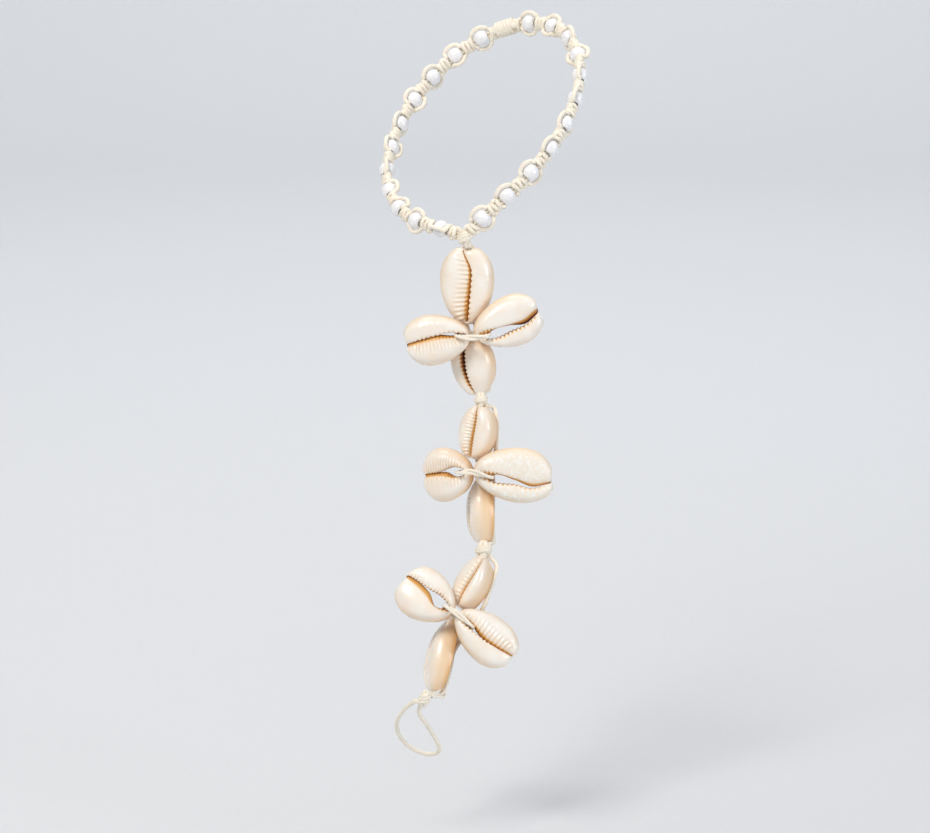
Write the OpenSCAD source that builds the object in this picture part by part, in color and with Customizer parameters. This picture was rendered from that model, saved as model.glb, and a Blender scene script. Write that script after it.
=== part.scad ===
// Shell anklet: a knotted cord band with round beads as the ankle loop, a chain of three flowers of
// four cut shells, and a toe loop at its lower end. Millimetres, +Z up, the open faces of the
// shells look to -Y, and the origin is the middle of the ankle loop.

/* [Ankle loop] */
// Half of the loop's long axis, from front to back
loop_a = 45; // [43:0.5:47]
// Half of the loop's short axis, from side to side
loop_b = 35; // [33:0.5:37]
// Lean of the loop from level, low at the front, in degrees
loop_lean = 42; // [35:1:46]
// Heading of the low side, in degrees from +X
loop_heading = 227.7; // [220:0.1:235]
// Turn of the long axis within the loop's own plane, in degrees
loop_turn = 12.4; // [8:0.1:16]
// Place of the centre knot round the loop, in degrees from the long axis
knot_angle = 16.2; // [12:0.1:20]
// Depth of the dip where the chain pulls the band down
dip_depth = 7.6; // [4:0.1:9]
// Reach of the dip along the band, in degrees round the loop
dip_reach = 14.5; // [10:0.5:18]

/* [Band] */
// Diameter of the waxed cord
cord_d = 1.5; // [1.2:0.1:1.7]
// Distance from the centre knot to the first bead
first_bead = 9; // [8.8:0.1:9.3]
// Distance from the last bead to the end of its half of the band
last_bead = 5.3; // [5:0.1:5.6]
// Diameter of a bead
bead_d = 5.7; // [5.4:0.1:5.9]
// Diameter of the hole in a bead
bead_bore = 2.7; // [2.5:0.1:3]
// Diameter of the core cords, taken together
core_d = 2; // [1.8:0.1:2.2]
// Width of a square knot
block_w = 5.2; // [4.8:0.1:5.4]
// Thickness of a square knot
block_t = 3.9; // [3.4:0.1:4.2]

/* [Shells] */
// Height of a cut shell from the sawn rim to the lips
shell_h = 7.2; // [6.5:0.1:8]
// Share of the shell's length that the slit takes
slit_share = 0.88; // [0.8:0.01:0.92]
// Depth of the notch at the outer end of a shell
notch_depth = 1.8; // [0.5:0.1:2.5]
// How far the teeth stand into the slit
tooth = 0.22; // [0:0.01:0.3]

/* [Knots] */
// Diameter of the centre knot
centre_knot_d = 4.6; // [4.2:0.1:5]
// Diameter of the first link knot
link_knot_1_d = 5; // [4.6:0.1:5.4]
// Diameter of the second link knot
link_knot_2_d = 6; // [5:0.1:6.4]
// Diameter of the toe knot
toe_knot_d = 4.5; // [4.2:0.1:5]
// Length of the knot that closes the band at the back
closing_l = 8; // [7:0.5:9]
// Diameter of the closing knot
closing_d = 6; // [5:0.1:7]

/* [Hidden] */

cord_colour = "#efe6d2";
bead_colour = "#f4f4f2";
shell_colour = "#f1dfcb";

// Small clearance between pieces that lie against each other
gap = 0.15;
cord_r = cord_d / 2;
// Sides of a strand of the band or lacing, of a side cord, and of the toe loop's cord
strand_sides = 5;
side_cord_sides = 6;
loop_sides = 8;

// Vectors and placing matrices

function unit(v) = v / norm(v);
function move_m(v) = [[1, 0, 0, v.x], [0, 1, 0, v.y], [0, 0, 1, v.z], [0, 0, 0, 1]];
function turn_x(a) = [[1, 0, 0, 0], [0, cos(a), -sin(a), 0], [0, sin(a), cos(a), 0], [0, 0, 0, 1]];
function turn_y(a) = [[cos(a), 0, sin(a), 0], [0, 1, 0, 0], [-sin(a), 0, cos(a), 0], [0, 0, 0, 1]];
function turn_z(a) = [[cos(a), -sin(a), 0, 0], [sin(a), cos(a), 0, 0], [0, 0, 1, 0], [0, 0, 0, 1]];
function place(m, p) = let (q = m * [p.x, p.y, p.z, 1]) [q.x, q.y, q.z];
// A direction carried by a matrix
function heading(m, v) = place(m, v) - place(m, [0, 0, 0]);
// A matrix from an origin and three axes
function axes_m(o, x, y, z) = [
    [x.x, y.x, z.x, o.x], [x.y, y.y, z.y, o.y], [x.z, y.z, z.z, o.z], [0, 0, 0, 1]
];

// Path of the ankle loop

loop_steps = 360;
loop_frame = turn_z(loop_heading) * turn_y(loop_lean) * turn_z(loop_turn);
function dip(t) = dip_depth * exp(-min(t, 360 - t) / dip_reach);
// Point of the loop t degrees on from the centre knot, rising to the right
function loop_point(t) = place(loop_frame,
    [loop_a * cos(t + knot_angle), loop_b * sin(t + knot_angle), 0]) - [0, 0, dip(t)];
function loop_step(i) = norm(
    loop_point(i * 360 / loop_steps) - loop_point((i - 1) * 360 / loop_steps));
// Rows of length along the loop and degrees
loop_table = [
    for (i = 0, s = 0; i <= loop_steps; i = i + 1, s = s + loop_step(i)) [s, i * 360 / loop_steps]
];
loop_length = loop_table[loop_steps][0];
// Half of the stretch over which the band's direction is taken
probe = 0.4;
// Point at a length s along the band from the centre knot, negative to the left
function band_point(s) = loop_point(lookup(s < 0 ? s + loop_length : s, loop_table));
function band_along(s) = unit(band_point(s + probe) - band_point(s - probe));
// Direction out of the loop, square to the band
function band_out(s) = let (p = band_point(s), t = band_along(s), o = unit([p.x, p.y, 0]))
    unit(o - (o * t) * t);
// Frame of the band at s: x across the band, y out of the loop, z along the band
function band_frame(s, roll = 0) = let (t = band_along(s), o = band_out(s))
    axes_m(band_point(s), cross(o, t), o, t) * turn_z(roll);

// Beads of each half of the band, and how far each one's place is rolled, in degrees
half_beads = 11;
right_rolls = [0, 42, 0, 42, 0, 35, 0, 35, 0, 35, 0];
left_rolls = [-35, 0, -40, 0, -35, 0, -35, 0, -35, 0, 0];
half_length = loop_length / 2;
band_end = half_length - closing_l / 2 - gap;
bead_pitch = (band_end - last_bead - first_bead) / (half_beads - 1);
function bead_s(i) = first_bead + i * bead_pitch;
function bead_roll(side, i) = side > 0 ? right_rolls[i] : left_rolls[i];

// Tube swept along points, each ring square to the path and turned from one reference direction
function path_along(p, i, closed) = let (n = len(p))
    unit(closed ? p[(i + 1) % n] - p[(i + n - 1) % n] : p[min(i + 1, n - 1)] - p[max(i - 1, 0)]);
// Two triangles of a grid of rings, from ring i to the next and from place k to the next
function grid_cell(i, k, n, m) = let (
    a = i * m + k, b = (i + 1) % n * m + k, c = (i + 1) % n * m + (k + 1) % m, d = i * m + (k + 1) % m
) [[a, b, c], [a, c, d]];
module tube(p, r, sides, ref, closed = false) {
    n = len(p);
    rings = [for (i = [0:n - 1]) let (
        t = path_along(p, i, closed),
        a = unit(cross(ref, t)),
        b = cross(t, a)
    ) for (k = [0:sides - 1]) p[i] + r * (cos(k * 360 / sides) * a + sin(k * 360 / sides) * b)];
    spans = closed ? n : n - 1;
    walls = [for (i = [0:spans - 1], k = [0:sides - 1]) each grid_cell(i, k, n, sides)];
    lids = closed ? [] : [
        [for (k = [0:sides - 1]) k], [for (k = [sides - 1:-1:0]) (n - 1) * sides + k]
    ];
    polyhedron(rings, concat(walls, lids));
}

// Smooth path through hand-picked points
function spline_at(p, i, u) = let (
    n = len(p),
    a = p[max(i - 1, 0)], b = p[i], c = p[min(i + 1, n - 1)], d = p[min(i + 2, n - 1)]
) 0.5 * (2 * b + (c - a) * u + (2 * a - 5 * b + 4 * c - d) * u * u
    + (3 * b - a - 3 * c + d) * u * u * u);
function smooth(p, cuts) = concat(
    [for (i = [0:len(p) - 2], k = [0:cuts - 1]) spline_at(p, i, k / cuts)], [p[len(p) - 1]]);
function closed_smooth(p, cuts) = let (n = len(p)) [for (i = [0:n - 1], k = [0:cuts - 1])
    spline_at([p[(i + n - 1) % n], p[i], p[(i + 1) % n], p[(i + 2) % n]], 1, k / cuts)];
path_cuts = 2;

// Knotted band: square knots between the beads, two strands bowed round each bead, and the core

// Clear length beside a bead and beside the centre knot
bead_room = 2 * gap;
knot_room = 0.7;
// Each square knot narrows to this share at its ends, where a lid this thick closes it
block_taper = 0.8;
block_lid = 0.9;
block_sides = 8;
// The strands bow round the bead at this distance, this far round it in degrees each way
bow_r = bead_d / 2 + cord_r + 0.25;
bow_reach = 62;
bow_step = 31;
core_share = 0.66;

module block(side, s0, s1) {
    mid = (s0 + s1) / 2;
    half = (s1 - s0) / 2;
    hull() {
        for (u = [-1, 0, 1]) {
            swell = u == 0 ? 1 : block_taper;
            multmatrix(band_frame(side * (mid + u * (half - block_lid / 2))))
                linear_extrude(block_lid, center = true)
                    scale([block_w / block_t * swell, swell])
                        circle(d = block_t, $fn = block_sides);
        }
    }
}

module bows(side, i) {
    s = side * bead_s(i);
    roll = bead_roll(side, i);
    for (way = [-1, 1]) {
        path = [for (a = [-bow_reach:bow_step:bow_reach])
            place(band_frame(s + bow_r * sin(a), roll), [way * bow_r * cos(a), 0, 0])];
        tube(path, cord_r, strand_sides, band_out(s));
    }
    core = [for (u = [-1, 1]) band_point(s + u * bead_pitch / 2 * core_share)];
    tube(core, core_d / 2, strand_sides, band_out(s));
}

module band_half(side) {
    color(cord_colour)
    union() {
        block(side, centre_knot_d / 2 + knot_room, first_bead - bead_d / 2 - bead_room);
        for (i = [0:half_beads - 1]) {
            next = i == half_beads - 1 ? band_end : bead_s(i + 1) - bead_d / 2 - bead_room;
            bows(side, i);
            block(side, bead_s(i) + bead_d / 2 + bead_room, next);
        }
    }
}

module bead(side, i) {
    color(bead_colour)
    multmatrix(band_frame(side * bead_s(i)))
    difference() {
        sphere(d = bead_d, $fn = 48);
        cylinder(h = 2 * bead_d, d = bead_bore, center = true, $fn = 32);
    }
}

// Knots: rings of cord wound on a plain core, standing on the knot's own axis

wrap_pitch = 0.95 * cord_d;

module wound_knot(d, wraps) {
    ring_r = d / 2 - cord_r;
    union() {
        cylinder(h = wraps * wrap_pitch, r = ring_r, center = true, $fn = 32);
        for (k = [0:wraps - 1]) {
            translate([0, 0, (k - (wraps - 1) / 2) * wrap_pitch])
                rotate_extrude($fn = 48) translate([ring_r, 0]) circle(r = cord_r, $fn = 24);
        }
    }
}

module closing_knot() {
    color(cord_colour)
    multmatrix(band_frame(half_length))
    wound_knot(closing_d, floor(closing_l / wrap_pitch));
}

// Flowers

// Middle of each flower, and how far its face is turned up, in degrees
flower_table = [
    // x, y, z, turned up
    [-3.6, -37.5, -66.7, 3],
    [-3.9, -45, -111.4, 9],
    [-8.8, -60, -157.4, 22]
];
function flower_m(f) = let (r = flower_table[f]) move_m([r[0], r[1], r[2]]) * turn_x(90 - r[3]);

// Columns of a shell's row: its middle in the flower's plane, its lift out of that plane, the
// angle of its outer end, its size, how far it is rolled and pitched, the width of its slit
// towards the tip and outside, how far the slit's middle bends to the left, how much wider the outer
// end is than the tip, and the share of the height that is lost at both ends
at_x = 0;
at_y = 1;
lift = 2;
angle = 3;
long = 4;
wide = 5;
rolled = 6;
pitched = 7;
slit_tip = 8;
slit_out = 9;
slit_bend = 10;
egg = 11;
taper = 12;
// Four rows for each flower: top, left, right and bottom shell
shell_rows = [
    [
        [-1.9, 16, -3.8, 90, 27, 18, -6, 0, 1.6, 1, -1, 0.15, 0.25],
        [-11.9, -1.4, 2.1, 187.6, 22.6, 16.8, 0, 4, 3, 1.2, -1, 0.2, 0.25],
        [11.9, 4.4, 2, 19.5, 24.2, 17, 0, 4, 3.4, 1.4, -1.9, 0.2, 0.25],
        [0.1, -11.6, -3.5, 281, 19.6, 15, 28, 0, 1.8, 1, -2.2, -0.15, 0.25]
    ],
    [
        [1.6, 12.7, -3.3, 81.4, 18.8, 12.8, -28, 0, 1.8, 1, 0, 0.02, 0.25],
        [-8.5, -1.4, -1.2, 183.3, 17.7, 18, 0, 26, 3.2, 1.6, -0.8, 0.2, 0.25],
        [14.3, -1.2, 2, 353, 27.6, 18.2, 0, 4, 3.6, 2.4, -2.4, 0.13, 0.25],
        [2.5, -14.4, -6.4, 271, 22.6, 14.6, 78, 0, 1.8, 1, 0, 0.1, 0.42]
    ],
    [
        [4.7, 11.9, -3.4, 63.7, 19.6, 11.6, -34, 0, 1.6, 1, -1.6, -0.05, 0.25],
        [-10.1, 6.5, 2, 147.7, 20.8, 17.6, 0, 4, 3.8, 1.8, -1, 0.2, 0.25],
        [9.5, -7.1, 2, 319.7, 24.4, 16, 0, 4, 3, 0.9, -0.9, 0.2, 0.25],
        [-6.2, -12.9, -7, 256.4, 24.6, 14.6, 78, 0, 1.8, 1, 0, 0.1, 0.42]
    ]
];
// A shell's frame: x to its outer end, z out of its face, and z = 0 at the sawn rim
function shell_m(f, k) = let (r = shell_rows[f][k])
    flower_m(f) * move_m([r[at_x], r[at_y], r[lift]]) * turn_z(r[angle]) * turn_y(r[pitched])
    * turn_x(r[rolled]) * move_m([0, 0, -shell_h / 2]);

// Section of the shell wall, from the inner base of a lip over the face and down to the sawn rim
shell_section = [
    // share of the way from slit to margin, share of the height
    [0.05, 0.46],
    [0, 0.82],
    [0.14, 0.98],
    [0.5, 1],
    [0.84, 0.82],
    [1, 0.42],
    [0.94, 0],
    [0.75, 0],
    [0.6, 0.56]
];
shell_steps = 28;
// The margin is dented at the outer end and a little full at the tip, over this many degrees
margin_dent = 0.9;
margin_nose = 0.4;
margin_reach = 14;
// The notch sinks the lips over this many degrees, and less at the tip
notch_reach = 16;
tip_notch = 0.6;
// The height lost at both ends fades towards the middle with this power
taper_power = 3;
// Lips stand higher than this share of the height
lip_share = 0.7;
// Power that makes the slit's ends blunt
slit_blunt = 0.6;

function outer_end(t, reach) = exp(-pow(min(t, 360 - t) / reach, 2));
function tip_end(t, reach) = exp(-pow((t - 180) / reach, 2));
// Middle of the slit at x: it bends most half-way and not at its ends
function slit_middle(r, x) = r[slit_bend] * (1 - pow(x / (slit_share * r[long] / 2), 2));
function slit_edge(r, t, i) = let (
    x = slit_share * r[long] / 2 * cos(t),
    q = (1 + cos(t)) / 2,
    half = (r[slit_tip] * (1 - q) + r[slit_out] * q) / 2,
    zig = tooth * (i % 2 == 0 ? 1 : -1)
) [
    x,
    slit_middle(r, x) + (half - zig) * sign(sin(t)) * pow(abs(sin(t)), slit_blunt)
];
function margin(r, t) = [
    r[long] / 2 * cos(t) - margin_dent * outer_end(t, margin_reach)
        + margin_nose * tip_end(t, margin_reach),
    r[wide] / 2 * sin(t) * (1 + r[egg] * cos(t))
];
function notch(t) = notch_depth * (outer_end(t, notch_reach) + tip_notch * tip_end(t, notch_reach));
function shell_point(r, i, j) = let (
    t = i * 360 / shell_steps,
    c = shell_section[j],
    a = slit_edge(r, t, i),
    p = a + (margin(r, t) - a) * c[0],
    z = shell_h * c[1] - (c[1] > lip_share ? notch(t) : 0)
) [p.x, p.y, z * (1 - r[taper] * pow(abs(cos(t)), taper_power))];

module shell(f, k) {
    r = shell_rows[f][k];
    m = len(shell_section);
    points = [for (i = [0:shell_steps - 1], j = [0:m - 1]) shell_point(r, i, j)];
    faces = [for (i = [0:shell_steps - 1], j = [0:m - 1]) each grid_cell(i, j, shell_steps, m)];
    color(shell_colour)
    multmatrix(shell_m(f, k))
    polyhedron(points, faces);
}

// Knots of the chain: middle, direction of the axis downwards, diameter and number of wraps
chain_knots = [
    [band_point(0), [0.05, -0.06, -1], centre_knot_d, 3],
    [[-0.8, -37.3, -88.8], [-0.03, -0.15, -1], link_knot_1_d, 2],
    [[0, -47.5, -138], [-0.05, -0.25, -1], link_knot_2_d, 2],
    [[-19.5, -71, -182.6], [-0.1, 0.1, -1], toe_knot_d, 3]
];
function knot_frame(k) = let (
    z = -unit(chain_knots[k][1]), x = unit(cross([0, -1, 0], -z)), y = cross(z, x)
) axes_m(chain_knots[k][0], x, y, z);
// Place beside a knot where a strand leaves it: a is 0 right, 90 behind, 180 left, away is how far out
function knot_mouth(k, a, h, away) = let (r = chain_knots[k][2] / 2 + away)
    place(knot_frame(k), [r * cos(a), r * sin(a), h]);

module chain_knot(k) {
    color(cord_colour)
    multmatrix(knot_frame(k))
    wound_knot(chain_knots[k][2], chain_knots[k][3]);
}

// Side cords of each flower, left and right. A route starts and ends beside a knot, at an angle round
// it and a height, and its stations are points in the frame of the top or bottom shell, or of the
// flower itself
top = 0;
bottom = 3;
middle = 4;
side_routes = [
    [
        [
            [110, -1.2], [100, 1], [
                [top, 13.4, 1.2, -1], [top, 9, 3, -1], [top, -1, 4, -1], [top, -9.4, 2.2, -1.2],
                [middle, -1.3, 0, -8],
                [bottom, -5.8, -2.2, -1.6], [bottom, 2, -3.2, -1.6], [bottom, 9.4, -1.8, -3.6]
            ]
        ],
        [
            [70, -1.2], [65, 1], [
                [top, 13.4, -1.2, -1], [top, 9, -3, -1], [top, -1, -4, -1], [top, -9.4, -2.2, -1.2],
                [middle, 1.3, 0, -8],
                [bottom, -5.8, 2.2, -1], [bottom, 2, 3.4, -1], [bottom, 8.4, 2.4, -1.4]
            ]
        ]
    ],
    [
        [
            [135, -1], [75, 1], [
                [top, 9.6, 2.4, -1], [top, 1, 3, -1], [top, -6.2, 2.2, -1.1],
                [middle, 3, 0.5, -9.4],
                [bottom, -9, -2.6, -1.6], [bottom, -1, -2.4, -1.5], [bottom, 7, -2.2, -1.5],
                [bottom, 10.4, -1.8, -1.7]
            ]
        ],
        [
            [20, -1], [40, 1], [
                [top, 9.8, -1.8, -1], [top, 6.4, -4, -1.05], [top, 0, -5.6, -1.05],
                [top, -5.2, -6, -1.05], [middle, 7.2, 0, -8.9],
                [bottom, -9, 0.8, -1.4], [bottom, -1, 0.8, -1.1], [bottom, 7, 0.8, -1.1],
                [bottom, 10.4, 0.8, -1.2]
            ]
        ]
    ],
    [
        [
            [135, -1], [100, 0.6], [
                [top, 9.8, 2.6, -1.2], [top, 1, 3, -1.1], [top, -6, 2, -1.1],
                [middle, 1.5, 0, -9.4],
                [bottom, -7, -2.6, -1.6], [bottom, 1, -2.2, -1.3], [bottom, 8.4, -2.4, -1.3],
                [bottom, 12.1, -3.1, -1.6]
            ]
        ],
        [
            [15, -1], [0, 0.4], [
                [top, 9.8, -2.4, -1], [top, 6.4, -4, -1.05], [top, 0, -5.4, -1.05],
                [top, -5.6, -6, -1.05], [middle, 5, -2.4, -8.9],
                [bottom, -4, 0.6, -1.3], [bottom, 3, 0.6, -1.2], [bottom, 9, 0.6, -1.1],
                [bottom, 12.6, 0.8, -0.6], [bottom, 13.9, 0.8, 1.6]
            ]
        ]
    ]
];
// How far from a knot's side a strand ends, and how far out it runs straight
mouth_room = gap + 0.35;
mouth_lead = 1.7;
function station(f, p) = place(p[0] == middle ? flower_m(f) : shell_m(f, p[0]), [p[1], p[2], p[3]]);
function mouth_pair(k, m, rooms) = [for (room = rooms) knot_mouth(k, m[0], m[1], room)];

module side_cord(f, way) {
    row = side_routes[f][way < 0 ? 0 : 1];
    route = concat(
        mouth_pair(f, row[0], [mouth_room, mouth_lead]),
        [for (p = row[2]) station(f, p)],
        mouth_pair(f + 1, row[1], [mouth_lead, mouth_room]));
    color(cord_colour)
    tube(smooth(route, path_cuts), cord_r, side_cord_sides, heading(flower_m(f), [0, 0, 1]));
}

// Lacing over the middle of a flower: two closed strands side by side, pressed into each other,
// that dive through the slits of the left and right shells
lace_front = 6.5;
lace_back = -4;
// How far from the tip the lacing dives, and half the distance between its strands
lace_in = 4.6;
lace_half = 0.85;
// Steps of the dive: along the shell, height from the sawn rim
lace_steps = [[-0.4, shell_h + 0.7], [0.3, shell_h / 2], [-0.4, -1.2]];
function lace_dive(f, k, way) = let (r = shell_rows[f][k]) [for (h = lace_steps)
    let (x = lace_in + way * lace_half + h[0] - r[long] / 2)
        place(shell_m(f, k), [x, slit_middle(r, x), h[1]])];
function lace_route(f, way) = concat(
    [place(flower_m(f), [0, way * lace_half, lace_front])],
    lace_dive(f, 2, way),
    [place(flower_m(f), [0, way * lace_half, lace_back])],
    [for (i = [2:-1:0]) lace_dive(f, 1, -way)[i]]);

module lacing(f) {
    up = heading(flower_m(f), [0, 1, 0]);
    color(cord_colour)
    for (way = [-1, 1])
        tube(closed_smooth(lace_route(f, way), path_cuts), cord_r, strand_sides, up, closed = true);
}

// Toe loop: points in its own plane, x across the loop and y down and back along it, from the left
// side of the toe knot to its lower end
toe_in = unit([0.085, 0.6, -0.79]);
toe_across = unit([0.945, -0.298, -0.133]);
toe_route = [
    [-3.1, -1.8], [-4.4, 0.2], [-6.2, 2.6], [-8.3, 6.4], [-10, 10.2], [-11, 14.4], [-11, 18.8],
    [-9.6, 23], [-6.8, 26.2], [-3, 27.6], [0.6, 26.8], [2.9, 24.4], [3.3, 21.2], [2.5, 17.8],
    [1.4, 14.2], [0.1, 10.6], [-1.2, 7.6], [-2, 4.8], [-1.8, 2.2], [-1.2, 0.2]
];
// The route's origin lies this far below the toe knot
toe_room = 0.6;

module toe_loop() {
    start = place(knot_frame(3), [0, 0, -chain_knots[3][3] * wrap_pitch / 2 - toe_room]);
    route = [for (p = toe_route) start + p.x * toe_across + p.y * toe_in];
    color(cord_colour)
    tube(smooth(route, path_cuts), cord_r, loop_sides, cross(toe_in, toe_across));
}

band_half(1);  // ankle_band_right
band_half(-1);  // ankle_band_left
chain_knot(0);  // centre_knot
closing_knot();
bead(1, 0);  // bead_01
bead(1, 1);  // bead_02
bead(1, 2);  // bead_03
bead(1, 3);  // bead_04
bead(1, 4);  // bead_05
bead(1, 5);  // bead_06
bead(1, 6);  // bead_07
bead(1, 7);  // bead_08
bead(1, 8);  // bead_09
bead(1, 9);  // bead_10
bead(1, 10);  // bead_11
bead(-1, 0);  // bead_12
bead(-1, 1);  // bead_13
bead(-1, 2);  // bead_14
bead(-1, 3);  // bead_15
bead(-1, 4);  // bead_16
bead(-1, 5);  // bead_17
bead(-1, 6);  // bead_18
bead(-1, 7);  // bead_19
bead(-1, 8);  // bead_20
bead(-1, 9);  // bead_21
bead(-1, 10);  // bead_22
shell(0, 0);  // flower_1_top_shell
shell(0, 1);  // flower_1_left_shell
shell(0, 2);  // flower_1_right_shell
shell(0, 3);  // flower_1_bottom_shell
shell(1, 0);  // flower_2_top_shell
shell(1, 1);  // flower_2_left_shell
shell(1, 2);  // flower_2_right_shell
shell(1, 3);  // flower_2_bottom_shell
shell(2, 0);  // flower_3_top_shell
shell(2, 1);  // flower_3_left_shell
shell(2, 2);  // flower_3_right_shell
shell(2, 3);  // flower_3_bottom_shell
side_cord(0, -1);  // flower_1_left_cord
side_cord(0, 1);  // flower_1_right_cord
lacing(0);  // flower_1_lacing
side_cord(1, -1);  // flower_2_left_cord
side_cord(1, 1);  // flower_2_right_cord
lacing(1);  // flower_2_lacing
side_cord(2, -1);  // flower_3_left_cord
side_cord(2, 1);  // flower_3_right_cord
lacing(2);  // flower_3_lacing
chain_knot(1);  // link_knot_1
chain_knot(2);  // link_knot_2
chain_knot(3);  // toe_knot
toe_loop();
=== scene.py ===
# %% [markdown]
# # A shell anklet
# The anklet has three parts. A knotted band of waxed cotton cord with white beads is the ankle loop.
# From its front knot hangs a chain of three flowers, each of four cowrie shells whose backs were
# sawn off. Under the last flower hangs the toe loop, of the same cord. The lesson builds each of
# them from a formula: cords are rings carried along a path, beads are turned profiles, and a shell
# is a section carried round its slit. All lengths are in millimetres until a mesh is made.

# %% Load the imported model
import bpy
import numpy as np
from mathutils import Matrix


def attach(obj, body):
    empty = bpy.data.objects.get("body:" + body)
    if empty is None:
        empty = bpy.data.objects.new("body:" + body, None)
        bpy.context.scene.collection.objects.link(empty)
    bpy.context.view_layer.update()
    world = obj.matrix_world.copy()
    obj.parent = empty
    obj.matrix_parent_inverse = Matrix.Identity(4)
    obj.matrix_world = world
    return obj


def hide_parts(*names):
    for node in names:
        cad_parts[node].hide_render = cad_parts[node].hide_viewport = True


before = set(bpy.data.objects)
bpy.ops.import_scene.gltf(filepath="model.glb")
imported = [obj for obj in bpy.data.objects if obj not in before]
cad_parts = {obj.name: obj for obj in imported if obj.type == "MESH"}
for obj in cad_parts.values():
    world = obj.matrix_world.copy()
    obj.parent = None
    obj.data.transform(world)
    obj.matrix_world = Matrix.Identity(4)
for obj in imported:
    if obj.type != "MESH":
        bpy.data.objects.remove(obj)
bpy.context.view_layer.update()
MM = 0.001

# %% [markdown]
# Small matrices place every piece, as in the solid model. A turn keeps one axis and mixes the two
# others by cosine and sine. One product moves a whole path or surface, and no object is turned or
# scaled afterwards.


# %% Vectors, turns and places
def unit(v):
    """Each vector divided by its own length."""
    v = np.asarray(v, float)
    return v / np.linalg.norm(v, axis=-1, keepdims=True)


def turn(axis, degrees):
    """A turn about one axis: cosine and plus and minus sine on the two others."""
    i, j = {"x": (1, 2), "y": (2, 0), "z": (0, 1)}[axis]
    m = np.eye(4)
    m[i, i] = m[j, j] = np.cos(np.radians(degrees))
    m[j, i] = np.sin(np.radians(degrees))
    m[i, j] = -m[j, i]
    return m


def move(v):
    """A shift: the vector as the last column of a matrix."""
    m = np.eye(4)
    m[:3, 3] = v
    return m


def axes(origin, x, y, z):
    """A place given by its origin and its axes, as the columns of a matrix."""
    m = np.eye(4)
    m[:3, 0], m[:3, 1], m[:3, 2], m[:3, 3] = x, y, z, origin
    return m


def place(m, points):
    """Points carried by a matrix: the turned point plus the shift."""
    return np.asarray(points, float) @ m[:3, :3].T + m[:3, 3]


# %% [markdown]
# A cord's route is a short list of points. The curve between two of them is a Catmull-Rom cubic: at
# each point it runs parallel to the line from the point before to the point after, so the route has
# no corners. A second function walks the curve in equal steps, which give faces of one size.


# %% Smooth paths
def smooth(points, cuts, closed=False):
    """Catmull-Rom: 0.5 * (2b + (c - a)u + (2a - 5b + 4c - d)u^2 + (3b - a - 3c + d)u^3) from b to c."""
    p = np.asarray(points, float)
    n = len(p)
    first = np.arange(n if closed else n - 1)
    a, b, c, d = (p[(first + k) % n if closed else np.clip(first + k, 0, n - 1)][:, None]
                  for k in (-1, 0, 1, 2))
    u = (np.arange(cuts) / cuts)[:, None]
    q = 0.5 * (2 * b + (c - a) * u + (2 * a - 5 * b + 4 * c - d) * u ** 2
               + (3 * b - a - 3 * c + d) * u ** 3)
    q = q.reshape(-1, p.shape[1])
    return q if closed else np.vstack([q, p[-1:]])


def run_length(path):
    """Length of the path up to each of its points: the sum of the steps so far."""
    steps = np.linalg.norm(np.diff(path[:, :3], axis=0), axis=1)
    return np.concatenate([[0], np.cumsum(steps)])


def evenly(path, step, closed=False):
    """The same path in equal steps: every column is read off against the running length."""
    p = np.vstack([path, path[:1]]) if closed else path
    run = run_length(p)
    at = np.linspace(0, run[-1], int(round(run[-1] / step)) + 1)
    q = np.stack([np.interp(at, run, column) for column in p.T], 1)
    return q[:-1] if closed else q


# %% [markdown]
# A surface is a grid of points: rows along it and columns across it. Its faces follow from the grid
# alone, so one function serves cords, beads and shells. A piece may join several surfaces in one
# mesh. The grid also gives the UV map, in real size, and any value that a material needs at each
# point, such as how deep it lies in a groove.


# %% Grids into meshes
def grid_faces(rows, columns, rows_close, columns_close):
    """Corners of each cell, (i, k), (i, k + 1), (i + 1, k + 1), (i + 1, k), as steps of the grid."""
    i, k = np.meshgrid(np.arange(rows - (not rows_close)), np.arange(columns - (not columns_close)),
                       indexing="ij")
    corner_i = np.stack([i, i, i + 1, i + 1], -1).reshape(-1, 4)
    corner_k = np.stack([k, k + 1, k + 1, k], -1).reshape(-1, 4)
    return corner_i, corner_k


def surface(points, across, along, rows_close=False, columns_close=True, values=None):
    """A grid of points with the place of each column across it and of each row along it."""
    return dict(points=points, across=np.append(across, 2 * across[-1] - across[-2]),
                along=np.append(along, 2 * along[-1] - along[-2]), rows_close=rows_close,
                columns_close=columns_close, values=values or {})


def new_mesh(name, surfaces):
    """Joins surfaces into one smooth mesh, with a lid of one face on each open end of a tube."""
    corners, faces, uvs, start = [], [], [], 0
    for s in surfaces:
        rows, columns = s["points"].shape[:2]
        i, k = grid_faces(rows, columns, s["rows_close"], s["columns_close"])
        faces += (start + i % rows * columns + k % columns).tolist()
        uvs.append(np.stack([s["across"][k], s["along"][i]], -1).reshape(-1, 2))
        if s["columns_close"] and not s["rows_close"]:
            ring = np.arange(columns)
            faces += [(start + ring[::-1]).tolist(), (start + (rows - 1) * columns + ring).tolist()]
            uvs.append(np.zeros((2 * columns, 2)))
        corners.append(s["points"].reshape(-1, 3))
        start += rows * columns
    mesh = bpy.data.meshes.new(name)
    mesh.from_pydata((np.vstack(corners) * MM).tolist(), [], faces)
    mesh.polygons.foreach_set("use_smooth", np.ones(len(faces), bool))
    mesh.uv_layers.new(name="UVMap").data.foreach_set("uv", np.vstack(uvs).ravel() * MM)
    for key in sorted({key for s in surfaces for key in s["values"]}):
        value = [s["values"].get(key, np.zeros(s["points"].shape[:2])).ravel() for s in surfaces]
        mesh.attributes.new(key, "FLOAT", "POINT").data.foreach_set("value", np.concatenate(value))
    mesh.update()
    return mesh


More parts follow.
